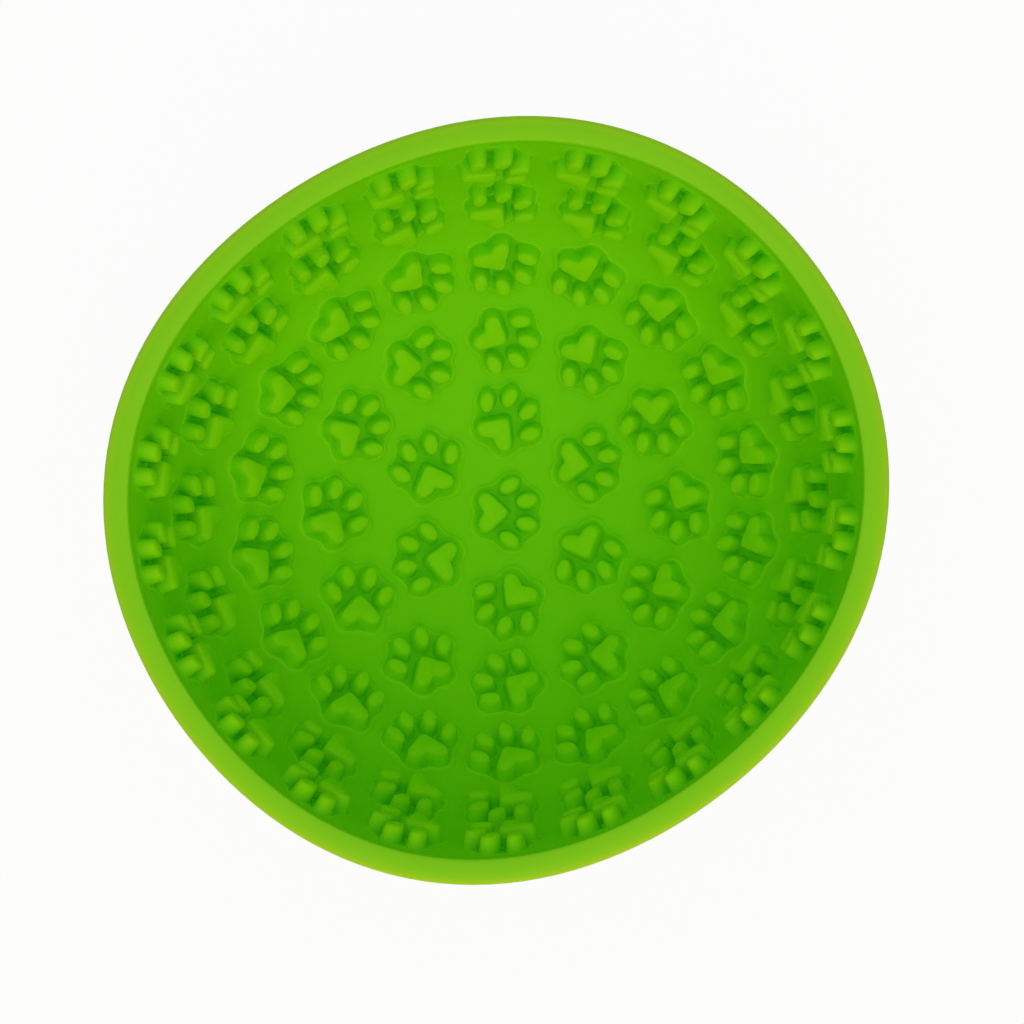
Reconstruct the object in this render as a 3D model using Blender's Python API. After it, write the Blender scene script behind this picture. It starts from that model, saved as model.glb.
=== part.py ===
"""Wobble slow feeder bowl with moulded paw studs.

Metres, +Z up. The origin is the middle of the flat foot. The bowl is laid out round, as its mould is, and
every mesh is then moved by one function, slumped, because the soft rim stands a little out of round.
"""

import math

import bmesh
import bpy
from mathutils import Matrix, Vector
from mathutils.geometry import delaunay_2d_cdt

MM = 0.001

# Inside of the bowl: a dish, a turn and a steep straight wall, each tangent to the next
DISH_RADIUS = 82.0 * MM
DISH_END = math.radians(52.0)
TURN_RADIUS = 45.0 * MM
WALL_SLOPE = math.radians(78.0)
LIP_HEIGHT = 79.5 * MM

# Walls and the gap between pieces that touch
LINER_WALL = 2.0 * MM
SHELL_WALL = 2.9 * MM
FIT_GAP = 0.3 * MM
LIP_LID = 2.0 * MM
LIP_ROUND = 1.0 * MM

# Underside: a round base to wobble on, cut off by a flat foot, with a weight in a pocket under the liner
BASE_RADIUS = 80.6 * MM
FOOT_RADIUS = 22.0 * MM
FOOT_THICKNESS = 2.5 * MM
WEIGHT_RADIUS = 20.0 * MM
WEIGHT_THICKNESS = 4.6 * MM
EDGE_CHAMFER = 0.6 * MM

# Lap joint between the shell and the base, where the dish has this slope: the base's tongue goes up inside
# the shell's edge
JOINT_SLOPE = math.radians(45.0)
JOINT_LAP = 3.0 * MM

# Rings of paws: arc length from the floor's middle, how many paws, how far each paw is turned, and the
# azimuth of the first
RING_ARCS = (0.0 * MM, 22.75 * MM, 42.35 * MM, 62.6 * MM, 83.2 * MM, 103.8 * MM)
RING_PAWS = (1, 6, 12, 18, 20, 22)
RING_TURNS = tuple(math.radians(turn) for turn in (-90.0, -38.0, -120.0, -149.0, -39.0, -51.0))
RING_STARTS = tuple(math.radians(start) for start in (90.0, 90.0, 90.2, 90.5, 90.5, 91.2))

# One paw, with x from the pad to the toes
STUD_HEIGHT = 4.0 * MM
TOE_SIDES = 6
TOE_BASE = (2.95 * MM, 2.05 * MM)
TOE_TOP = (2.4 * MM, 1.5 * MM)
INNER_TOE = (4.6 * MM, 2.85 * MM, math.radians(12.0))
OUTER_TOE = (0.4 * MM, 6.6 * MM, math.radians(34.0))
PAD_HALF = ((-5.9, 0.0), (-7.3, 2.9), (-5.3, 5.1), (-2.4, 3.3), (0.4, 0.0))
PAD_MIDDLE = Vector((-3.8 * MM, 0.0))
PAD_DRAFT = 0.88

# How the soft rim stands out of round: waves per turn, push at the lip and where it is greatest.
# The rim bends rather than stretches, so it also slides round beside each wave.
SLUMP_WAVES = ((2, 2.25 * MM, 32.0), (3, 0.56 * MM, 37.6), (4, 0.82 * MM, -10.3))
SLUMP_POWER = 2.0
SLUMP_SLIDE = 1.18

SEGMENTS = 40
ARC_STEP = math.radians(7.5)
WELD = 1e-6

# Worked out from the sizes above. The turn has one middle, inside and out, so the wall is even there,
# and the base's middle on the axis sets how high that is above the foot.
SKIN = LINER_WALL + FIT_GAP
WALL = SKIN + SHELL_WALL
TURN_OUT = (DISH_RADIUS - TURN_RADIUS) * math.sin(DISH_END)
BASE_REACH = BASE_RADIUS - TURN_RADIUS - WALL
BASE_SLOPE = math.asin(TURN_OUT / BASE_REACH)
BASE_MIDDLE = math.sqrt(BASE_RADIUS**2 - FOOT_RADIUS**2)
TURN_MIDDLE = (TURN_OUT, BASE_MIDDLE - BASE_REACH * math.cos(BASE_SLOPE))
DISH_MIDDLE = TURN_MIDDLE[1] + (DISH_RADIUS - TURN_RADIUS) * math.cos(DISH_END)
JOINT_TOP = DISH_MIDDLE - (DISH_RADIUS + SKIN) * math.cos(JOINT_SLOPE)
JOINT_HEIGHT = JOINT_TOP - JOINT_LAP
DISH_ARC = DISH_RADIUS * DISH_END
TURN_ARC = TURN_RADIUS * (WALL_SLOPE - DISH_END)


def clear_scene():
    for old in list(bpy.data.objects):
        bpy.data.objects.remove(old, do_unlink=True)


def around(middle, radius, slope):
    """Point (radius, height) on an arc of the section, where the section has this slope."""
    return middle[0] + radius * math.sin(slope), middle[1] - radius * math.cos(slope)


def arc_points(middle, radius, first, last):
    """Points along an arc of the section, from one slope to another."""
    steps = max(1, round(abs(last - first) / ARC_STEP))
    return [around(middle, radius, first + (last - first) * step / steps) for step in range(steps + 1)]


def wall_radius(height, offset):
    """Radius of the straight wall at a height, with the wall pushed out by an offset."""
    foot = around(TURN_MIDDLE, TURN_RADIUS + offset, WALL_SLOPE)
    return foot[0] + (height - foot[1]) / math.tan(WALL_SLOPE)


def dish_arc(offset, first, last):
    return arc_points((0.0, DISH_MIDDLE), DISH_RADIUS + offset, first, last)


def base_arc(first, last):
    return arc_points((0.0, BASE_MIDDLE), BASE_RADIUS, first, last)


def base_slope(height):
    """Slope of the round base's outside at a height."""
    return math.acos((BASE_MIDDLE - height) / BASE_RADIUS)


def inner_wall(offset, top):
    """The turn and the wall pushed out by an offset, from the dish's end up to a height."""
    turn = arc_points(TURN_MIDDLE, TURN_RADIUS + offset, DISH_END, WALL_SLOPE)
    return turn + [(wall_radius(top, offset), top)]


def outer_wall():
    """The outside of the shell, from the lip down the wall and round to the joint with the base."""
    lip_edge = wall_radius(LIP_HEIGHT, WALL)
    rim = [(lip_edge - LIP_ROUND, LIP_HEIGHT), (lip_edge, LIP_HEIGHT - LIP_ROUND)]
    turn = arc_points(TURN_MIDDLE, TURN_RADIUS + WALL, WALL_SLOPE, BASE_SLOPE)
    return rim + turn + base_arc(BASE_SLOPE, base_slope(JOINT_HEIGHT))[1:]


def plain_material(name, colour, roughness, metallic):
    material = bpy.data.materials.new(name)
    material.use_nodes = True
    shader = material.node_tree.nodes["Principled BSDF"]
    shader.inputs["Base Color"].default_value = (*colour, 1.0)
    shader.inputs["Roughness"].default_value = roughness
    shader.inputs["Metallic"].default_value = metallic
    return material


def slumped(point):
    """Where a point of the round bowl lies once the soft rim has gone out of round."""
    azimuth = math.atan2(point.y, point.x)
    outward = Vector((math.cos(azimuth), math.sin(azimuth), 0.0))
    along = Vector((-math.sin(azimuth), math.cos(azimuth), 0.0))
    share = max(point.z / LIP_HEIGHT, 0.0) ** SLUMP_POWER
    moved = point.copy()
    for waves, size, peak in SLUMP_WAVES:
        angle = waves * (azimuth - math.radians(peak))
        moved += outward * share * size * math.cos(angle)
        moved -= along * share * size * SLUMP_SLIDE / waves * math.sin(angle)
    return moved


def finished_object(name, shape, material):
    """An object from a bmesh, closed, slumped and smooth shaded."""
    bmesh.ops.remove_doubles(shape, verts=shape.verts, dist=WELD)
    for vert in shape.verts:
        vert.co = slumped(vert.co)
    bmesh.ops.recalc_face_normals(shape, faces=shape.faces)
    mesh = bpy.data.meshes.new(name)
    shape.to_mesh(mesh)
    shape.free()
    mesh.shade_smooth()
    mesh.set_sharp_from_angle(angle=math.radians(35.0))
    piece = bpy.data.objects.new(name, mesh)
    bpy.context.scene.collection.objects.link(piece)
    mesh.materials.append(material)
    return piece


def add_turned(shape, section):
    """A section of (radius, height) points turned about Z."""
    verts = [shape.verts.new((radius, 0.0, height)) for radius, height in section]
    edges = [shape.edges.new(pair) for pair in zip(verts, verts[1:])]
    bmesh.ops.spin(
        shape,
        geom=verts + edges,
        cent=(0.0, 0.0, 0.0),
        axis=(0.0, 0.0, 1.0),
        angle=math.tau,
        steps=SEGMENTS,
        use_merge=True,
    )


def turned(name, section, material):
    """A piece turned from a section that starts and ends on the axis, or ends where it starts."""
    shape = bmesh.new()
    add_turned(shape, section)
    return finished_object(name, shape, material)


def lap_radius():
    """Radius of the step in the middle of the lap joint."""
    inside = (DISH_RADIUS + SKIN) * math.sin(JOINT_SLOPE)
    outside = BASE_RADIUS * math.sin(base_slope(JOINT_HEIGHT))
    return (inside + outside) / 2


def make_shell(material):
    """Outer shell: an undercut below the lip takes the liner's edge, a rebate below takes the base."""
    undercut = LIP_HEIGHT - LIP_LID
    inside = dish_arc(SKIN, JOINT_SLOPE, DISH_END) + inner_wall(SKIN, undercut)[1:]
    lip = [(wall_radius(undercut, 0.0), undercut), (wall_radius(LIP_HEIGHT, 0.0), LIP_HEIGHT)]
    step = [(lap_radius(), JOINT_HEIGHT), (lap_radius(), JOINT_TOP)]
    return turned("outer_shell", inside + lip + outer_wall() + step + inside[:1], material)


def make_base(material):
    """Round base: a flat foot below, a pocket for the weight above and a tongue that goes into the shell."""
    shoulder = JOINT_HEIGHT - FIT_GAP
    tongue_top = JOINT_TOP - FIT_GAP
    tongue_radius = lap_radius() - FIT_GAP
    pocket_radius = WEIGHT_RADIUS + FIT_GAP
    under_liner = DISH_RADIUS + SKIN
    pocket = [(0.0, FOOT_THICKNESS), (pocket_radius, FOOT_THICKNESS)]
    dish_end = math.acos((DISH_MIDDLE - tongue_top) / under_liner)
    dish = dish_arc(SKIN, math.asin(pocket_radius / under_liner), dish_end)
    tongue = [(tongue_radius, tongue_top), (tongue_radius, shoulder)]
    outside = base_arc(base_slope(shoulder), base_slope(0.0))
    return turned("rocker_base", pocket + dish + tongue + outside + [(0.0, 0.0)], material)


def make_weight(material):
    """Weight: a disc with its edges broken, lying in the base's pocket."""
    low = FOOT_THICKNESS + FIT_GAP
    high = low + WEIGHT_THICKNESS
    edge = WEIGHT_RADIUS - EDGE_CHAMFER
    side = [(WEIGHT_RADIUS, low + EDGE_CHAMFER), (WEIGHT_RADIUS, high - EDGE_CHAMFER)]
    section = [(0.0, low), (edge, low)] + side + [(edge, high), (0.0, high)]
    return turned("base_weight", section, material)


def section_at(arc):
    """Radius, height and slope of the inside, at an arc length from the middle of the floor."""
    if arc <= DISH_ARC:
        slope = arc / DISH_RADIUS
        return *around((0.0, DISH_MIDDLE), DISH_RADIUS, slope), slope
    slope = min(DISH_END + (arc - DISH_ARC) / TURN_RADIUS, WALL_SLOPE)
    radius, height = around(TURN_MIDDLE, TURN_RADIUS, slope)
    rise = max(arc - DISH_ARC - TURN_ARC, 0.0)
    return radius + rise * math.cos(slope), height + rise * math.sin(slope), slope


def arc_under(radius, height):
    """Arc length at the foot of the perpendicular from a point to the inside's section."""
    slope = math.atan2(radius, DISH_MIDDLE - height)
    if slope <= DISH_END:
        return slope * DISH_RADIUS
    slope = math.atan2(radius - TURN_MIDDLE[0], TURN_MIDDLE[1] - height)
    if slope <= WALL_SLOPE:
        return DISH_ARC + (slope - DISH_END) * TURN_RADIUS
    foot = around(TURN_MIDDLE, TURN_RADIUS, WALL_SLOPE)
    rise = (radius - foot[0]) * math.cos(WALL_SLOPE) + (height - foot[1]) * math.sin(WALL_SLOPE)
    return DISH_ARC + TURN_ARC + rise


def lifted(place, height):
    """A point this high off the inside of the bowl, along the normal at a place (arc, azimuth)."""
    arc, azimuth = place
    radius, level, slope = section_at(arc)
    radius -= height * math.sin(slope)
    return Vector((radius * math.cos(azimuth), radius * math.sin(azimuth), level + height * math.cos(slope)))


def paw_frame(ring, azimuth):
    """The middle of a paw, with x from its pad to its toes and z off the surface."""
    radius, height, slope = section_at(RING_ARCS[ring])
    place = Matrix.Rotation(azimuth, 4, "Z") @ Matrix.Translation((radius, 0.0, height))
    return place @ Matrix.Rotation(-slope, 4, "Y") @ Matrix.Rotation(RING_TURNS[ring], 4, "Z")


def laid(frame, outline):
    """An outline of a paw's flat drawing laid on the inside of the bowl, as (arc, azimuth) places."""
    points = [frame @ Vector((point.x, point.y, 0.0)) for point in outline]
    return [(arc_under(math.hypot(p.x, p.y), p.z), math.atan2(p.y, p.x)) for p in points]


def toe_outline(toe, side, size):
    """Points round one toe, on the paw's flat drawing."""
    x, y, lean = toe
    turn = Matrix.Rotation(lean * side, 2)
    middle = Vector((x, y * side))
    angles = [math.tau * step / TOE_SIDES for step in range(TOE_SIDES)]
    return [middle + turn @ Vector((size[0] * math.cos(a), size[1] * math.sin(a))) for a in angles]


def pad_outline(scale):
    """Points round the heart shaped pad, its point towards the toes."""
    half = [Vector((x * MM, -y * MM)) for x, y in PAD_HALF]
    other = [Vector((point.x, -point.y)) for point in reversed(half[1:-1])]
    return [PAD_MIDDLE + (point - PAD_MIDDLE) * scale for point in half + other]


def paw_studs():
    """Each stud of a paw as its outline at the root and its smaller outline at the top."""
    toes = [(toe, side) for toe in (INNER_TOE, OUTER_TOE) for side in (1, -1)]
    studs = [(toe_outline(toe, side, TOE_BASE), toe_outline(toe, side, TOE_TOP)) for toe, side in toes]
    return studs + [(pad_outline(1.0), pad_outline(PAD_DRAFT))]


def all_studs():
    """Every stud of every paw, as places round its root and round its top."""
    studs = []
    for ring, count in enumerate(RING_PAWS):
        for paw in range(count):
            frame = paw_frame(ring, RING_STARTS[ring] + math.tau * paw / count)
            studs += [(laid(frame, root), laid(frame, top)) for root, top in paw_studs()]
    return studs


def bare_places(edge_arc):
    """Places between the paws that keep the bare face round, and those along the liner's edge."""
    places = []
    for ring, count in enumerate(RING_PAWS[1:], start=1):
        below = (RING_ARCS[ring - 1] + RING_ARCS[ring]) / 2
        for paw in range(count):
            between = RING_STARTS[ring] + math.tau * (paw + 0.5) / count
            places += [(RING_ARCS[ring], between), (below, between)]
    return places + [(edge_arc, math.tau * step / SEGMENTS) for step in range(SEGMENTS)]


def add_face_with_studs(shape, edge_arc):
    """The liner's face: filled between the studs' roots on a flat drawing, then each stud drawn out."""
    studs = all_studs()
    places = bare_places(edge_arc)
    roots = []
    for root, top in studs:
        roots.append([len(places) + step for step in range(len(root))])
        places += root
    drawing = [Vector((arc * math.cos(azimuth), arc * math.sin(azimuth))) for arc, azimuth in places]
    _, _, faces, sources, _, owners = delaunay_2d_cdt(drawing, [], roots, 0, WELD)
    verts = [shape.verts.new(lifted(place, 0.0)) for place in places]
    for face, owner in zip(faces, owners):
        if not owner:
            shape.faces.new([verts[sources[corner][0]] for corner in face])
    for indices, (root, top) in zip(roots, studs):
        low = [verts[index] for index in indices]
        high = [shape.verts.new(lifted(place, STUD_HEIGHT)) for place in top]
        shape.faces.new(high)
        for here in range(len(root)):
            after = (here + 1) % len(root)
            shape.faces.new((low[here], low[after], high[after], high[here]))


def make_liner(material):
    """Liner: an even skin whose edge goes under the lip, with the paw studs on its face."""
    edge = LIP_HEIGHT - LIP_LID - FIT_GAP
    rim = (wall_radius(edge, 0.0), edge)
    shape = bmesh.new()
    add_face_with_studs(shape, arc_under(*rim))
    add_turned(shape, dish_arc(LINER_WALL, 0.0, DISH_END) + inner_wall(LINER_WALL, edge)[1:] + [rim])
    return finished_object("lick_liner", shape, material)


def main():
    clear_scene()
    lip_green = plain_material("lime_silicone", (0.209, 0.546, 0.012), 0.5, 0.0)
    liner_green = plain_material("green_silicone", (0.13, 0.45, 0.006), 0.5, 0.0)
    base_green = plain_material("dense_lime_silicone", (0.19, 0.5, 0.012), 0.5, 0.0)
    steel = plain_material("steel", (0.55, 0.55, 0.56), 0.35, 1.0)
    make_shell(lip_green)
    make_liner(liner_green)
    make_base(base_green)
    make_weight(steel)


main()
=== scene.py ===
"""Wobble slow feeder bowl: the dressed model, its studio floor and light, and the photograph's camera.

Metres, +Z up, in the CAD model's frame. The bowl is modelled round, as its mould is, and every mesh made here
is then moved by one function, slumped, because the soft rim stands a little out of round. The weight inside
the base is the CAD model's own.
"""

import math

import bpy
from mathutils import Matrix, Vector


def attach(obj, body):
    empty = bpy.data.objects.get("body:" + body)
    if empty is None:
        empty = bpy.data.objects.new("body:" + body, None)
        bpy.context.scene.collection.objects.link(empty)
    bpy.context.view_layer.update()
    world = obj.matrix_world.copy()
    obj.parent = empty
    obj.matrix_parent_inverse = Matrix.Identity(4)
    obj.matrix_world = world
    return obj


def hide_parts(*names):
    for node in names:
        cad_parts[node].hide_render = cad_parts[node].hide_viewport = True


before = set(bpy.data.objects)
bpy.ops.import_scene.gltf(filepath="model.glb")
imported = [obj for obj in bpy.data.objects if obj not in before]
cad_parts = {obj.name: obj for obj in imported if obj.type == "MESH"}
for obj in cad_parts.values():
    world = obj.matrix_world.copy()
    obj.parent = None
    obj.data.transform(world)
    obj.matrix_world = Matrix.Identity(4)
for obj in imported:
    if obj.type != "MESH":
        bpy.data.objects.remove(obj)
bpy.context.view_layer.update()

MM = 0.001

# The bowl's section, with the CAD model's sizes
DISH_RADIUS = 82.0 * MM
DISH_END = math.radians(52.0)
TURN_RADIUS = 45.0 * MM
WALL_SLOPE = math.radians(78.0)
LIP_HEIGHT = 79.5 * MM
LINER_WALL = 2.0 * MM
SHELL_WALL = 2.9 * MM
FIT_GAP = 0.3 * MM
LIP_LID = 2.0 * MM
BASE_RADIUS = 80.6 * MM
FOOT_RADIUS = 22.0 * MM
FOOT_THICKNESS = 2.5 * MM
POCKET_RADIUS = 20.3 * MM
JOINT_SLOPE = math.radians(45.0)
JOINT_LAP = 3.0 * MM
# Waves of the soft rim: how many go round, their size, and the azimuth of a peak in degrees
SLUMP_WAVES = ((2, 2.25 * MM, 32.0), (3, 0.56 * MM, 37.6), (4, 0.82 * MM, -10.3))
# The power of the height that the slump grows by, and how much of it goes sideways
SLUMP_POWER = 2.0
SLUMP_SLIDE = 1.18

# Edges that the mould rounds, and the lip's low crown
LIP_ROUND = 1.4 * MM
LIP_CORNER = 0.2 * MM
LIP_CROWN = 0.22 * MM
FOOT_ROUND = 0.6 * MM
# A rounded corner's middle lies about this share of its radius inside the sharp corner
CORNER_CUT = 0.3
# The foot's soft edge in shares of its rounding: how far out and up its middle point lies, and how far up the
# base's arc begins
FOOT_EDGE_OUT = 0.3
FOOT_EDGE_UP = 0.12
FOOT_ARC_UP = 0.6
# The fine line between the lip and the liner's edge
LIP_JOINT = 0.1 * MM
# Slopes of the section where the lip's outer rounding starts and ends
RIM_START = math.radians(180.0)
RIM_END = math.radians(80.0)

# Rings of paws on the inside, with the CAD model's places
RING_ARCS = (0.0 * MM, 22.75 * MM, 42.35 * MM, 62.6 * MM, 83.2 * MM, 103.8 * MM)
RING_PAWS = (1, 6, 12, 18, 20, 22)
RING_TURNS = tuple(math.radians(turn) for turn in (-90.0, -38.0, -120.0, -149.0, -39.0, -51.0))
RING_STARTS = tuple(math.radians(start) for start in (90.0, 90.0, 90.2, 90.5, 90.5, 91.2))

# One paw, flat, with x from the pad to the toes. The toes' half sizes, and for two of them on one side x and
# y in millimetres and the lean in degrees
TOE_TOP = (2.4 * MM, 1.5 * MM)
INNER_TOE = (4.6, 2.85, 12.0)
OUTER_TOE = (0.4, 6.6, 34.0)
# Pad and bead: one half of each outline in millimetres
PAD_HALF = (
    (-5.75, 0.0),
    (-6.3, 1.0),
    (-6.9, 2.7),
    (-6.45, 4.1),
    (-5.3, 4.65),
    (-4.1, 4.15),
    (-2.4, 2.5),
    (-0.8, 1.0),
    (-0.25, 0.0),
)
PAD_MIDDLE = (-3.8 * MM, 0.0)
PAD_HALF_LENGTH = 3.35
PAD_HALF_WIDTH = 4.65
BEAD_HALF = (
    (-8.4, 0.0),
    (-9.2, 2.6),
    (-8.7, 4.8),
    (-6.9, 6.3),
    (-4.9, 6.7),
    (-3.4, 7.3),
    (-1.6, 9.1),
    (0.7, 9.9),
    (2.8, 9.4),
    (4.0, 7.9),
    (5.2, 6.6),
    (7.3, 5.3),
    (8.4, 3.4),
    (8.2, 1.5),
    (7.8, 0.0),
)
# Rings up each stud: height above the floor and how far the ring stands outside the stud's outline, both in
# millimetres, and the share of painted shade round the studs, a darker green; below the bare share it paints
# the tops lighter
STUD_RINGS = (
    (-0.1, 1.3, 0.45),
    (0.15, 0.8, 0.58),
    (0.6, 0.55, 0.45),
    (3.1, 0.3, 0.03),
    (3.7, 0.1, 0.0),
    (4.0, -0.38, 0.0),
)
# Rings across the bead round a paw and the valley inside it: height in millimetres, share of the outline's
# size, and share of painted shade in the valley and at the bead's foot, a darker green; below the bare share
# it paints the crest lighter
BEAD_RINGS = (
    (-1.6, 1.08, 0.25),
    (0.05, 1.06, 0.25),
    (0.06, 1.01, 0.32),
    (0.28, 0.985, 0.18),
    (0.44, 0.942, 0.05),
    (0.25, 0.9, 0.18),
    (0.06, 0.87, 0.42),
    (0.05, 0.6, 0.45),
    (0.05, 0.25, 0.45),
)
# For each ring of paws: how many times deeper the painted shade in its valleys is, and the share of their
# height that its beads have
RING_SHADE_DEPTHS = (1.0, 1.0, 1.0, 1.25, 1.9, 2.1)
BEAD_RISES = (1.0, 1.0, 1.0, 1.0, 0.5, 0.3)
# The bead lies this much nearer the middle of the bowl than the studs it goes round
BEAD_SHIFT = 0.6 * MM

# The points' attribute that holds the share of painted shade, a darker green: 0 is none of it, below 0 is a
# thin edge with a painted glow of light coming through
PAINTED_SHADE = "valley"
# That share of painted shade on the bare floor and on the bare wall, which is painted a little darker, and
# the share of the height where the wall's is reached
BARE_FLOOR_SHADE = 0.25
BARE_WALL_SHADE = 0.32
WALL_SHADE_FROM = 0.5
# How far from a paw's middle its painted shade would end, the width over which it fades, and the least that
# is left
SHADE_EDGE = 9.0 * MM
SHADE_FADE = 4.5 * MM
SHADE_LEAST = 0.2
# Width of the lip's thin outer edge painted yellower as a glow of light coming through it, and how fast it
# grows outwards
LIP_GLOW_WIDTH = 2.8 * MM
LIP_GLOW_POWER = 1.5

# How fine the meshes are
TURN_STEPS = 144
ARC_STEP = math.radians(2.5)
RIM_STEP = math.radians(20.0)
WALL_STEPS = 8
CROWN_STEPS = 5
TOE_SIDES = 12
OUTLINE_STEPS = 2
WELD = 1e-7
# Edges that turn by less than this are shaded smooth
SMOOTH_ANGLE = math.radians(30.0)
STUD_SMOOTH_ANGLE = math.radians(50.0)

# The white floor: its size, how far it lies under the foot, and how much of it shows as plain white
PAPER_SIZE = 4.0
PAPER_DROP = 0.05 * MM
PAPER_WHITE = 0.95

# Worked out from the sizes above, as in the CAD model
SKIN = LINER_WALL + FIT_GAP
WALL = SKIN + SHELL_WALL
TURN_OUT = (DISH_RADIUS - TURN_RADIUS) * math.sin(DISH_END)
BASE_REACH = BASE_RADIUS - TURN_RADIUS - WALL
BASE_SLOPE = math.asin(TURN_OUT / BASE_REACH)
BASE_MIDDLE = math.sqrt(BASE_RADIUS**2 - FOOT_RADIUS**2)
TURN_MIDDLE = (TURN_OUT, BASE_MIDDLE - BASE_REACH * math.cos(BASE_SLOPE))
DISH_MIDDLE = TURN_MIDDLE[1] + (DISH_RADIUS - TURN_RADIUS) * math.cos(DISH_END)
JOINT_TOP = DISH_MIDDLE - (DISH_RADIUS + SKIN) * math.cos(JOINT_SLOPE)
JOINT_HEIGHT = JOINT_TOP - JOINT_LAP
DISH_ARC = DISH_RADIUS * DISH_END
TURN_ARC = TURN_RADIUS * (WALL_SLOPE - DISH_END)
FLOOR_HEIGHT = DISH_MIDDLE - DISH_RADIUS


def around(middle, radius, slope):
    """Point (radius, height) on an arc of the section, where the section has this slope."""
    return middle[0] + radius * math.sin(slope), middle[1] - radius * math.cos(slope)


def arc_points(middle, radius, first, last, step=ARC_STEP):
    """Points along an arc of the section, from one slope to another."""
    steps = max(1, round(abs(last - first) / step))
    return [around(middle, radius, first + (last - first) * i / steps) for i in range(steps + 1)]


def dish_arc(offset, first, last):
    """Points along the dish pushed out by an offset, from one slope to another."""
    return arc_points((0.0, DISH_MIDDLE), DISH_RADIUS + offset, first, last)


def base_arc(first, last):
    """Points along the round base's outside, from one slope to another."""
    return arc_points((0.0, BASE_MIDDLE), BASE_RADIUS, first, last)


def base_slope(height):
    """Slope of the round base's outside at a height."""
    return math.acos((BASE_MIDDLE - height) / BASE_RADIUS)


def wall_radius(height, offset):
    """Radius of the straight wall at a height, with the wall pushed out by an offset."""
    foot = around(TURN_MIDDLE, TURN_RADIUS + offset, WALL_SLOPE)
    return foot[0] + (height - foot[1]) / math.tan(WALL_SLOPE)


def wall_points(offset, low, high):
    """Points along the straight wall from one height to another, close enough to follow the slump."""
    heights = [low + (high - low) * i / WALL_STEPS for i in range(WALL_STEPS + 1)]
    return [(wall_radius(height, offset), height) for height in heights]


def inner_wall(offset, top):
    """The turn and the wall pushed out by an offset, from the dish's end up to a height."""
    turn = arc_points(TURN_MIDDLE, TURN_RADIUS + offset, DISH_END, WALL_SLOPE)
    return turn + wall_points(offset, turn[-1][1], top)[1:]


def lap_radius():
    """Radius of the step in the middle of the lap joint."""
    inside = (DISH_RADIUS + SKIN) * math.sin(JOINT_SLOPE)
    outside = BASE_RADIUS * math.sin(base_slope(JOINT_HEIGHT))
    return (inside + outside) / 2


def section_at(arc):
    """Radius, height and slope of the inside, at an arc length from the middle of the floor."""
    if arc <= DISH_ARC:
        slope = arc / DISH_RADIUS
        return *around((0.0, DISH_MIDDLE), DISH_RADIUS, slope), slope
    slope = min(DISH_END + (arc - DISH_ARC) / TURN_RADIUS, WALL_SLOPE)
    radius, height = around(TURN_MIDDLE, TURN_RADIUS, slope)
    rise = max(arc - DISH_ARC - TURN_ARC, 0.0)
    return radius + rise * math.cos(slope), height + rise * math.sin(slope), slope


def arc_under(radius, height):
    """Arc length at the foot of the perpendicular from a point to the inside's section."""
    slope = math.atan2(radius, DISH_MIDDLE - height)
    if slope <= DISH_END:
        return slope * DISH_RADIUS
    slope = math.atan2(radius - TURN_MIDDLE[0], TURN_MIDDLE[1] - height)
    if slope <= WALL_SLOPE:
        return DISH_ARC + (slope - DISH_END) * TURN_RADIUS
    foot = around(TURN_MIDDLE, TURN_RADIUS, WALL_SLOPE)
    rise = (radius - foot[0]) * math.cos(WALL_SLOPE) + (height - foot[1]) * math.sin(WALL_SLOPE)
    return DISH_ARC + TURN_ARC + rise


def slumped(point):
    """Where a point of the round bowl lies once the soft rim has gone out of round."""
    azimuth = math.atan2(point.y, point.x)
    outward = Vector((math.cos(azimuth), math.sin(azimuth), 0.0))
    along = Vector((-math.sin(azimuth), math.cos(azimuth), 0.0))
    share = max(point.z / LIP_HEIGHT, 0.0) ** SLUMP_POWER
    moved = point.copy()
    for waves, size, peak in SLUMP_WAVES:
        angle = waves * (azimuth - math.radians(peak))
        moved += outward * share * size * math.cos(angle)
        moved -= along * share * size * SLUMP_SLIDE / waves * math.sin(angle)
    return moved


def bare_painted_shade(height):
    """Share of painted shade on bare silicone: the wall is painted a little deeper in shade than the floor.
    """
    up = (height - FLOOR_HEIGHT) / (LIP_HEIGHT - FLOOR_HEIGHT)
    return BARE_FLOOR_SHADE + (BARE_WALL_SHADE - BARE_FLOOR_SHADE) * min(max(up / WALL_SHADE_FROM, 0.0), 1.0)


def slump(piece):
    """Every point of a round piece moved to where it lies in the slumped bowl."""
    for vert in piece.data.vertices:
        vert.co = slumped(vert.co)


def linear(colour):
    """An sRGB hex value as a linear colour."""
    channels = [int(colour[place:place + 2], 16) / 255 for place in (1, 3, 5)]
    return *(c / 12.92 if c <= 0.04045 else ((c + 0.055) / 1.055) ** 2.4 for c in channels), 1.0


def add_node(tree, kind, settings, **links):
    """A node with its settings, and its inputs set or linked, by name or as in0, in1 and so on by number."""
    node = tree.nodes.new(kind)
    for name, value in settings.items():
        setattr(node, name, value)
    for name, value in links.items():
        key = int(name[2:]) if name.startswith("in") else name.replace("_", " ")
        socket = node.inputs[key]
        if isinstance(value, bpy.types.NodeSocket):
            tree.links.new(value, socket)
        else:
            socket.default_value = value
    return node


def new_material(name):
    """A new material and its node tree, emptied."""
    material = bpy.data.materials.new(name)
    material.use_nodes = True
    material.node_tree.nodes.clear()
    return material, material.node_tree


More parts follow.
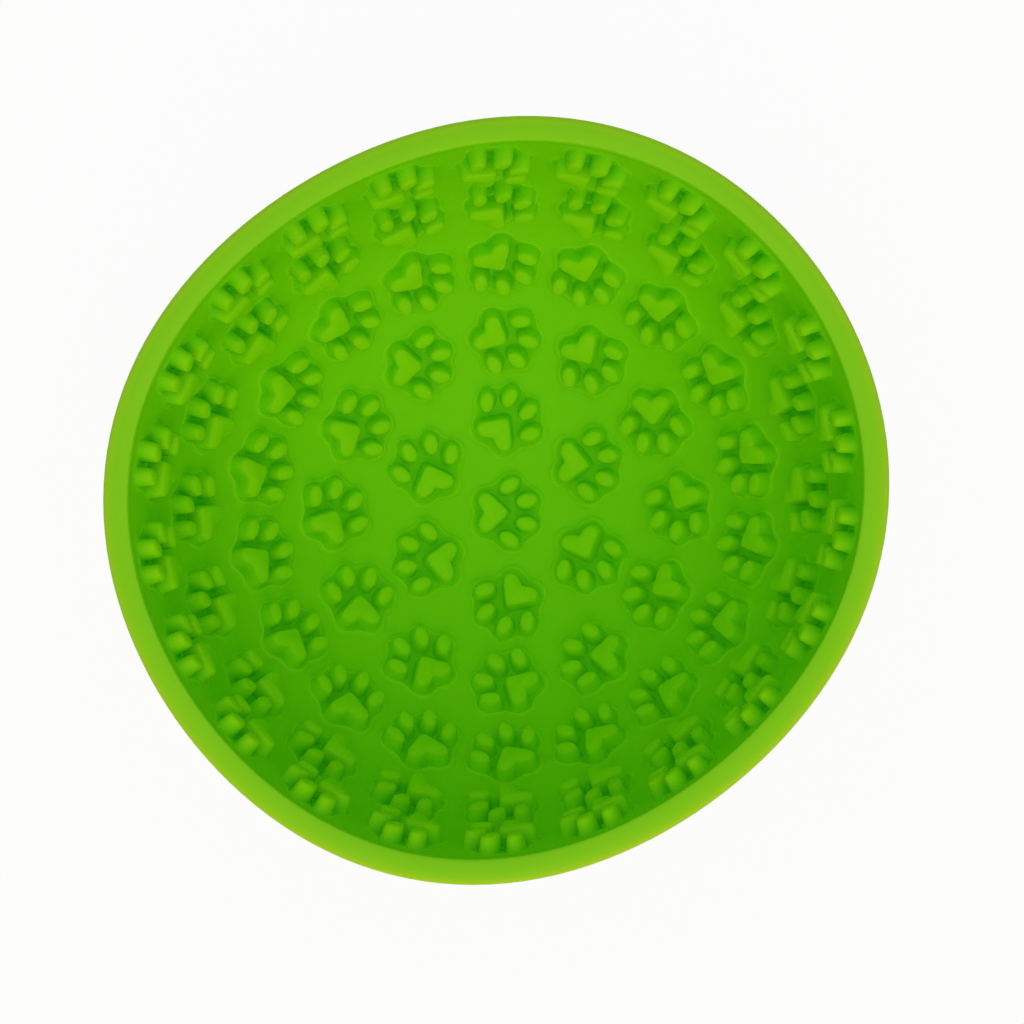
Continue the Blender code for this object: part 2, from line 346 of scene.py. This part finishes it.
def moulded_silicone(name, pale, deep, valley, edge_glow, roughness):
    """Pigmented silicone from a blasted mould: a soft even green with a dull sheen, and painted shade between
    studs.

    The painted share goes up to 1 in the deepest valleys, as painted shade, and down to -1 at the lip's outer
    edge, where a yellower green paints the glow of light coming through the silicone.
    """
    material, tree = new_material(name)
    place = add_node(tree, "ShaderNodeTexCoord", {}).outputs["Object"]
    # Pigment drifts over about 14 mm
    drift = add_node(tree, "ShaderNodeTexNoise", {}, Vector=place, Scale=1 / (14 * MM), Detail=3.0)
    colour = add_node(
        tree, "ShaderNodeMix", {"data_type": "RGBA"},
        in0=drift.outputs["Fac"], in6=linear(deep), in7=linear(pale),
    )
    # Painted shade: the points' share brings in a darker green between the studs, on the walls and under the
    # lip
    share = add_node(tree, "ShaderNodeAttribute", {"attribute_name": PAINTED_SHADE}).outputs["Fac"]
    colour = add_node(
        tree, "ShaderNodeMix", {"data_type": "RGBA"},
        in0=share, in6=colour.outputs[2], in7=linear(valley),
    )
    # Painted glow: a share below zero brings in a yellower green where light comes through the lip's thin
    # edge
    edge = add_node(tree, "ShaderNodeMath", {"operation": "MULTIPLY"}, in0=share, in1=-1.0)
    colour = add_node(
        tree, "ShaderNodeMix", {"data_type": "RGBA"},
        in0=edge.outputs[0], in6=colour.outputs[2], in7=linear(edge_glow),
    )
    # Blasted grain of about 0.5 mm, coarser than the real one so that it shows
    grain = add_node(tree, "ShaderNodeTexNoise", {}, Vector=place, Scale=1 / (0.5 * MM), Detail=2.0)
    bump = add_node(
        tree, "ShaderNodeBump", {}, Height=grain.outputs["Fac"], Strength=0.25, Distance=0.03 * MM
    )
    # The grain varies the sheen from a little under the roughness to a little over it
    dull = add_node(
        tree, "ShaderNodeMapRange", {},
        Value=grain.outputs["Fac"], To_Min=roughness - 0.05, To_Max=roughness + 0.07,
    )
    shader = add_node(
        tree, "ShaderNodeBsdfPrincipled", {},
        Base_Color=colour.outputs[2], Roughness=dull.outputs["Result"], Normal=bump.outputs["Normal"],
        IOR=1.41, Specular_IOR_Level=0.09,
    )
    add_node(tree, "ShaderNodeOutputMaterial", {}, Surface=shader.outputs["BSDF"])
    return material


def turned_steel():
    """Bare turned steel: fine rings from the lathe tool round the disc's middle."""
    material, tree = new_material("turned_steel")
    place = add_node(tree, "ShaderNodeTexCoord", {}).outputs["Object"]
    # Tool marks about 2.5 mm apart, because the texture turns its phase 20 times as fast as its scale says
    marks = add_node(
        tree, "ShaderNodeTexWave", {"wave_type": "RINGS", "rings_direction": "Z"},
        Vector=place, Scale=125.0, Distortion=0.4,
    )
    bump = add_node(
        tree, "ShaderNodeBump", {}, Height=marks.outputs["Fac"], Strength=0.3, Distance=0.02 * MM
    )
    dull = add_node(
        tree, "ShaderNodeMapRange", {}, Value=marks.outputs["Fac"], To_Min=0.28, To_Max=0.42
    )
    shader = add_node(
        tree, "ShaderNodeBsdfPrincipled", {},
        Base_Color=linear("#c3c4c6"), Metallic=1.0, Roughness=dull.outputs["Result"],
        Normal=bump.outputs["Normal"],
    )
    add_node(tree, "ShaderNodeOutputMaterial", {}, Surface=shader.outputs["BSDF"])
    return material


def start_piece():
    """Everything deselected, so that what follows acts on the new primitive alone."""
    bpy.ops.object.select_all(action="DESELECT")


def into_edit_mode():
    """The active piece in edit mode, with all of it selected."""
    bpy.ops.object.mode_set(mode="EDIT")
    bpy.ops.mesh.select_all(action="SELECT")


def out_of_edit_mode():
    """Faces turned outwards and back to object mode."""
    bpy.ops.mesh.select_all(action="SELECT")
    bpy.ops.mesh.normals_make_consistent(inside=False)
    bpy.ops.object.mode_set(mode="OBJECT")


def draw_out(rise, share_x, share_y, middle=(0.0, 0.0)):
    """What is selected drawn out by one ring: up by a rise, then resized about a middle."""
    bpy.ops.mesh.extrude_region_move(TRANSFORM_OT_translate={"value": (0.0, 0.0, rise)})
    bpy.ops.transform.resize(value=(share_x, share_y, 1.0), center_override=(*middle, 0.0))


def turned(name, section):
    """A circle drawn out ring by ring along a section of (radius, height) points, left in edit mode."""
    start_piece()
    radius, height = section[0]
    bpy.ops.mesh.primitive_circle_add(vertices=TURN_STEPS, radius=radius, location=(0.0, 0.0, height))
    piece = bpy.context.object
    piece.name = name
    bpy.ops.object.transform_apply()
    into_edit_mode()
    for (radius, height), (next_radius, next_height) in zip(section, section[1:]):
        draw_out(next_height - height, next_radius / radius, next_radius / radius)
    bpy.ops.mesh.select_all(action="SELECT")
    bpy.ops.mesh.remove_doubles(threshold=WELD)
    return piece


def fill_open_edges():
    """The open end of what is in edit mode closed by a face."""
    bpy.ops.mesh.select_all(action="DESELECT")
    bpy.ops.mesh.select_non_manifold()
    bpy.ops.mesh.edge_face_add()


def finish_piece(piece, node, material, smooth_angle=SMOOTH_ANGLE):
    """Shaded, painted and set on the CAD model in place of its node."""
    start_piece()
    piece.select_set(True)
    bpy.context.view_layer.objects.active = piece
    bpy.ops.object.shade_smooth_by_angle(angle=smooth_angle)
    piece.data.materials.clear()
    piece.data.materials.append(material)
    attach(piece, "root")
    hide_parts(node)


def make_shell(material):
    """Outer wall and lip: a low crown on top, crisp inside, rounded outside, a rebate below for the base."""
    undercut = LIP_HEIGHT - LIP_LID
    lip_edge = LIP_HEIGHT - LIP_CROWN
    lip_inner = wall_radius(LIP_HEIGHT, 0.0)
    lip_outer = wall_radius(LIP_HEIGHT, WALL)
    inside = dish_arc(SKIN, JOINT_SLOPE, DISH_END) + inner_wall(SKIN, undercut)[1:]
    lid = [
        (wall_radius(undercut, 0.0), undercut),
        (wall_radius(lip_edge - LIP_CORNER, 0.0), lip_edge - LIP_CORNER),
        (lip_inner + CORNER_CUT * LIP_CORNER, lip_edge - CORNER_CUT * LIP_CORNER),
        (lip_inner + LIP_CORNER, lip_edge),
    ]
    round_middle = (lip_outer - LIP_ROUND, lip_edge - LIP_ROUND)
    for step in range(1, CROWN_STEPS):
        across = step / CROWN_STEPS
        radius = lip_inner + LIP_CORNER + (round_middle[0] - lip_inner - LIP_CORNER) * across
        lid.append((radius, LIP_HEIGHT - LIP_CROWN * (2.0 * across - 1.0) ** 2))
    rim = arc_points(round_middle, LIP_ROUND, RIM_START, RIM_END, RIM_STEP)
    turn = arc_points(TURN_MIDDLE, TURN_RADIUS + WALL, WALL_SLOPE, BASE_SLOPE)
    wall = wall_points(WALL, rim[-1][1], turn[0][1])[1:]
    outside = rim + wall + turn[1:] + base_arc(BASE_SLOPE, base_slope(JOINT_HEIGHT))[1:]
    rebate = [(lap_radius(), JOINT_HEIGHT), (lap_radius(), JOINT_TOP), inside[0]]
    shell = turned("shell", inside + lid + outside + rebate)
    out_of_edit_mode()
    # The foot of the lip's inner face is painted in the darker green of painted shade, like the liner below,
    # and its outer edge counts below zero, where a glow of light coming through the thin silicone is painted
    layer = shell.data.attributes.new(PAINTED_SHADE, "FLOAT", "POINT")
    for vert, share in zip(shell.data.vertices, layer.data):
        radius = vert.co.xy.length
        if radius < lip_inner and abs(vert.co.z - undercut) < WELD:
            share.value = 1.0
        elif vert.co.z > rim[-1][1] - WELD:
            share.value = -max(1.0 - (lip_outer - radius) / LIP_GLOW_WIDTH, 0.0) ** LIP_GLOW_POWER
    slump(shell)
    finish_piece(shell, "outer_shell", material)


def make_base(material):
    """Round base: a flat foot below, a pocket for the weight above and a tongue that goes into the shell."""
    shoulder = JOINT_HEIGHT - FIT_GAP
    tongue_top = JOINT_TOP - FIT_GAP
    tongue_radius = lap_radius() - FIT_GAP
    under_liner = DISH_RADIUS + SKIN
    foot = [
        (FOOT_RADIUS - FOOT_ROUND, 0.0),
        (FOOT_RADIUS + FOOT_EDGE_OUT * FOOT_ROUND, FOOT_EDGE_UP * FOOT_ROUND),
    ]
    outside = base_arc(base_slope(FOOT_ARC_UP * FOOT_ROUND), base_slope(shoulder))
    tongue = [(tongue_radius, shoulder), (tongue_radius, tongue_top)]
    dish_end = math.acos((DISH_MIDDLE - tongue_top) / under_liner)
    dish = dish_arc(SKIN, dish_end, math.asin(POCKET_RADIUS / under_liner))
    pocket = [(POCKET_RADIUS, FOOT_THICKNESS), (0.0, FOOT_THICKNESS)]
    base = turned("base", foot + outside + tongue + dish + pocket)
    fill_open_edges()
    out_of_edit_mode()
    slump(base)
    finish_piece(base, "rocker_base", material)


def bowl_skin():
    """The liner's even skin, drawn down from its edge under the lip to the middle of the floor."""
    edge = LIP_HEIGHT - LIP_LID - LIP_JOINT
    wall = inner_wall(0.0, edge)
    dish = dish_arc(0.0, 0.0, DISH_END)
    skin = turned("liner", wall[::-1] + dish[::-1][1:])
    bpy.ops.mesh.normals_make_consistent(inside=True)
    bpy.ops.object.mode_set(mode="OBJECT")
    # An open skin has no certain outside, so the middle of the floor decides which way is up
    middle = min(skin.data.polygons, key=lambda face: face.center.z)
    if middle.normal.z < 0.0:
        skin.data.flip_normals()
    thick = skin.modifiers.new("skin", "SOLIDIFY")
    thick.thickness = LINER_WALL
    thick.offset = -1.0
    thick.use_even_offset = True
    bpy.ops.object.modifier_apply(modifier=thick.name)
    # Painted shade: the skin's share of the darker green, a little more on the wall than on the floor
    layer = skin.data.attributes.new(PAINTED_SHADE, "FLOAT", "POINT")
    layer.data.foreach_set("value", [bare_painted_shade(vert.co.z) for vert in skin.data.vertices])
    slump(skin)
    return skin


def paint_shade(piece, rings):
    """The share of painted shade, ring after ring, where it is deeper fading out towards the bead."""
    layer = piece.data.attributes.new(PAINTED_SHADE, "FLOAT", "POINT")
    in_ring = len(piece.data.vertices) // len(rings)
    for place, vert in enumerate(piece.data.vertices):
        deeper = rings[place // in_ring][2] - BARE_FLOOR_SHADE
        if deeper > 0.0:
            fade = (SHADE_EDGE - vert.co.xy.length) / SHADE_FADE
            deeper *= min(max(fade, SHADE_LEAST), 1.0)
        layer.data[place].value = BARE_FLOOR_SHADE + deeper


def toe(place, side):
    """One toe stud: an oval drawn up with a filleted root, a little draft and a rounded top."""
    x, y, lean = place
    start_piece()
    low, margin, _ = STUD_RINGS[0]
    size = [half + margin * MM for half in TOE_TOP]
    bpy.ops.mesh.primitive_circle_add(
        vertices=TOE_SIDES, radius=1.0, fill_type="NGON", location=(0.0, 0.0, low * MM)
    )
    piece = bpy.context.object
    piece.scale = (*size, 1.0)
    bpy.ops.object.transform_apply()
    into_edit_mode()
    for height, margin, _ in STUD_RINGS[1:]:
        larger = [half + margin * MM for half in TOE_TOP]
        draw_out((height - low) * MM, larger[0] / size[0], larger[1] / size[1])
        low, size = height, larger
    out_of_edit_mode()
    piece.location = (x * MM, y * side * MM, 0.0)
    piece.rotation_euler.z = math.radians(lean * side)
    bpy.ops.object.transform_apply()
    paint_shade(piece, STUD_RINGS)
    return piece


def outline(name, half):
    """A flat face inside a smooth outline through the points of one half and their mirror images."""
    start_piece()
    points = list(half) + [(x, -y) for x, y in half[-2:0:-1]]
    curve = bpy.data.curves.new(name, "CURVE")
    curve.dimensions = "2D"
    curve.resolution_u = OUTLINE_STEPS
    spline = curve.splines.new("BEZIER")
    spline.bezier_points.add(len(points) - 1)
    spline.use_cyclic_u = True
    for knot, (x, y) in zip(spline.bezier_points, points):
        knot.co = (x * MM, y * MM, 0.0)
        knot.handle_left_type = "AUTO"
        knot.handle_right_type = "AUTO"
    curve.fill_mode = "NONE"
    piece = bpy.data.objects.new(name, curve)
    bpy.context.scene.collection.objects.link(piece)
    piece.select_set(True)
    bpy.context.view_layer.objects.active = piece
    bpy.ops.object.convert(target="MESH")
    into_edit_mode()
    bpy.ops.mesh.edge_face_add()
    return piece


def pad():
    """The heart shaped pad stud, its point towards the toes."""
    piece = outline("pad", PAD_HALF)
    bpy.ops.transform.translate(value=(0.0, 0.0, STUD_RINGS[0][0] * MM))
    shares = []
    for _, margin, _ in STUD_RINGS:
        long_share = (PAD_HALF_LENGTH + margin) / PAD_HALF_LENGTH
        wide_share = (PAD_HALF_WIDTH + margin) / PAD_HALF_WIDTH
        shares.append((long_share, wide_share))
    bpy.ops.transform.resize(value=(*shares[0], 1.0), center_override=(*PAD_MIDDLE, 0.0))
    for ring in range(1, len(STUD_RINGS)):
        rise = (STUD_RINGS[ring][0] - STUD_RINGS[ring - 1][0]) * MM
        share_x, share_y = (now / before for now, before in zip(shares[ring], shares[ring - 1]))
        draw_out(rise, share_x, share_y, PAD_MIDDLE)
    out_of_edit_mode()
    paint_shade(piece, STUD_RINGS)
    return piece


def paw_bead():
    """The low scalloped bead round a paw, with the valley that the studs stand in."""
    piece = outline("bead", BEAD_HALF)
    height, share, _ = BEAD_RINGS[0]
    bpy.ops.transform.translate(value=(0.0, 0.0, height * MM))
    bpy.ops.transform.resize(value=(share, share, 1.0), center_override=(0.0, 0.0, 0.0))
    for next_height, next_share, _ in BEAD_RINGS[1:]:
        draw_out((next_height - height) * MM, next_share / share, next_share / share)
        height, share = next_height, next_share
    out_of_edit_mode()
    paint_shade(piece, BEAD_RINGS)
    return piece


def joined(pieces):
    """Pieces joined into the first of them."""
    start_piece()
    for piece in pieces:
        piece.select_set(True)
    bpy.context.view_layer.objects.active = pieces[0]
    bpy.ops.object.join()
    return pieces[0]


def paw_studs():
    """The four toes and the pad of one flat paw."""
    toes = [toe(place, side) for place in (INNER_TOE, OUTER_TOE) for side in (1, -1)]
    return joined([pad()] + toes)


def settled(master, arc, azimuth, turn, rise, shade_depth):
    """A copy of something flat laid on the inside of the bowl, its heights along the surface's normals.

    The heights are multiplied by a rise, and painted shade deeper than the bare silicone's is made deeper
    still by a given factor.
    """
    start_piece()
    master.select_set(True)
    bpy.context.view_layer.objects.active = master
    bpy.ops.object.duplicate()
    piece = bpy.context.object
    radius, height, slope = section_at(arc)
    place = Matrix.Rotation(azimuth, 4, "Z") @ Matrix.Translation((radius, 0.0, height))
    place = place @ Matrix.Rotation(-slope, 4, "Y") @ Matrix.Rotation(turn, 4, "Z")
    for vert, share in zip(piece.data.vertices, piece.data.attributes[PAINTED_SHADE].data):
        on = place @ Vector((vert.co.x, vert.co.y, 0.0))
        around_z = math.atan2(on.y, on.x)
        radius, level, slope = section_at(arc_under(math.hypot(on.x, on.y), on.z))
        # Painted shade: the bare silicone's share at this height, with the valley's shade made deeper on this
        # ring
        deeper = share.value - BARE_FLOOR_SHADE
        if deeper > 0.0:
            deeper *= shade_depth
        share.value = bare_painted_shade(level) + deeper
        radius -= vert.co.z * rise * math.sin(slope)
        level += vert.co.z * rise * math.cos(slope)
        vert.co = slumped(Vector((radius * math.cos(around_z), radius * math.sin(around_z), level)))
    return piece


def make_liner(material):
    """The liner: its skin with all the paws, each a copy of one flat paw and of the bead round it."""
    skin = bowl_skin()
    studs = paw_studs()
    bead = paw_bead()
    paws = []
    for ring, count in enumerate(RING_PAWS):
        arc = RING_ARCS[ring]
        for step in range(count):
            azimuth = RING_STARTS[ring] + math.tau * step / count
            turn = RING_TURNS[ring]
            # How much deeper this ring's painted shade is
            shade_depth = RING_SHADE_DEPTHS[ring]
            bead_arc = max(arc - BEAD_SHIFT, 0.0)
            paws.append(settled(studs, arc, azimuth, turn, rise=1.0, shade_depth=shade_depth))
            paws.append(settled(bead, bead_arc, azimuth, turn, rise=BEAD_RISES[ring], shade_depth=shade_depth))
    for master in (studs, bead):
        bpy.data.objects.remove(master, do_unlink=True)
    liner = joined([skin] + paws)
    finish_piece(liner, "lick_liner", material, STUD_SMOOTH_ANGLE)


def seen_white(tree):
    """1 for the rays that show the room to the eye: from the camera, off a gloss or through glass."""
    ray = add_node(tree, "ShaderNodeLightPath", {})
    seen = ray.outputs["Is Camera Ray"]
    for kind in ("Is Glossy Ray", "Is Transmission Ray"):
        more = add_node(tree, "ShaderNodeMath", {"operation": "MAXIMUM"}, in0=seen, in1=ray.outputs[kind])
        seen = more.outputs[0]
    return seen


def make_floor():
    """White studio floor, a hair under the foot. The camera sees it nearly white, with a trace of shadow."""
    start_piece()
    bpy.ops.mesh.primitive_plane_add(size=PAPER_SIZE, location=(0.0, 0.0, -PAPER_DROP))
    floor = bpy.context.object
    floor.name = "floor"
    material, tree = new_material("white_paper")
    share = add_node(
        tree, "ShaderNodeMath", {"operation": "MULTIPLY"}, in0=seen_white(tree), in1=PAPER_WHITE
    )
    paper = add_node(tree, "ShaderNodeBsdfDiffuse", {}, Color=linear("#f4f4f2"))
    white = add_node(tree, "ShaderNodeEmission", {}, Strength=1.0)
    mixed = add_node(
        tree, "ShaderNodeMixShader", {},
        in0=share.outputs[0], in1=paper.outputs[0], in2=white.outputs[0],
    )
    add_node(tree, "ShaderNodeOutputMaterial", {}, Surface=mixed.outputs[0])
    floor.data.materials.append(material)


def make_light():
    """A room that looks white and lights softly, and a large faint lamp by the photo's lower edge."""
    world = bpy.data.worlds.new("white_room")
    bpy.context.scene.world = world
    world.use_nodes = True
    tree = world.node_tree
    tree.nodes.clear()
    # A plain room, with a warm glow half way up at the photograph's lower edge and a paler ceiling. Each glow
    # has the way towards it, the cosine of the angle to its edge, and its colour
    way = add_node(tree, "ShaderNodeTexCoord", {}).outputs["Generated"]
    lit = linear("#7d9285")
    glows = (
        ((0.13, -0.75, 0.64), 0.72, "#ffcb9c"),
        ((0.0, 0.0, 1.0), 0.5, "#949f92"),
    )
    for towards, edge, colour in glows:
        facing = add_node(
            tree, "ShaderNodeVectorMath", {"operation": "DOT_PRODUCT"}, in0=way, in1=towards
        )
        glow = add_node(
            tree, "ShaderNodeMapRange", {"interpolation_type": "SMOOTHSTEP"},
            Value=facing.outputs["Value"], From_Min=edge, From_Max=1.0,
        )
        lit = add_node(
            tree, "ShaderNodeMix", {"data_type": "RGBA", "blend_type": "ADD"},
            in0=glow.outputs["Result"], in6=lit, in7=linear(colour),
        ).outputs[2]
    shown = add_node(
        tree, "ShaderNodeMix", {"data_type": "RGBA"},
        in0=seen_white(tree), in6=lit, in7=linear("#ffffff"),
    )
    room = add_node(tree, "ShaderNodeBackground", {}, Color=shown.outputs[2], Strength=1.0)
    add_node(tree, "ShaderNodeOutputWorld", {}, Surface=room.outputs[0])

    start_piece()
    bpy.ops.object.light_add(type="AREA", location=(0.16, -0.92, 0.8))
    lamp = bpy.context.object
    lamp.name = "soft_lamp"
    lamp.data.shape = "DISK"
    lamp.data.size = 1.1
    lamp.data.energy = 1.0
    lamp.data.color = linear("#ffc5a9")[:3]
    lamp.rotation_euler = lamp.location.to_track_quat("Z", "Y").to_euler()


def make_camera():
    """The photograph's camera: nearly overhead, leaning towards the lower right."""
    distance = 800.0 * MM
    lean = math.radians(3.8)
    towards = math.radians(306.0)
    target = Vector((1.05 * MM, 0.0, FLOOR_HEIGHT + 4.6 * MM))
    back = Vector(
        (math.sin(lean) * math.cos(towards), math.sin(lean) * math.sin(towards), math.cos(lean))
    )
    up = (Vector((0.0, 1.0, 0.0)) - back * back.y).normalized()
    side = up.cross(back)
    data = bpy.data.cameras.new("photograph")
    data.sensor_width = 36.0
    data.lens = 120.9
    camera = bpy.data.objects.new("photograph", data)
    bpy.context.scene.collection.objects.link(camera)
    turn = Matrix((side, up, back)).transposed().to_4x4()
    camera.matrix_world = Matrix.Translation(target + back * distance) @ turn
    bpy.context.scene.camera = camera


def main():
    """The bowl, and then the floor, light and camera that show it as in the photograph."""
    # The valley colours are painted shade and the lime's thin colour is a painted glow of light through the
    # lip's edge; the base's match its own green, so nothing is painted on it
    lime = moulded_silicone(
        "lime_silicone", pale="#a4f92a", deep="#9ef522", valley="#78ea02", edge_glow="#c8fb30",
        roughness=0.5,
    )
    green = moulded_silicone(
        "green_silicone", pale="#a0fa0c", deep="#99f608", valley="#40d402", edge_glow="#a0fa0c",
        roughness=0.5,
    )
    dense = moulded_silicone(
        "dense_lime_silicone", pale="#96e20f", deep="#8edc09", valley="#8edc09", edge_glow="#96e20f",
        roughness=0.55,
    )
    make_shell(lime)
    make_base(dense)
    make_liner(green)
    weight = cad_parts["base_weight"]
    weight.material_slots[0].material = turned_steel()
    make_floor()
    make_light()
    make_camera()
    bpy.context.scene.view_settings.view_transform = "Standard"


main()
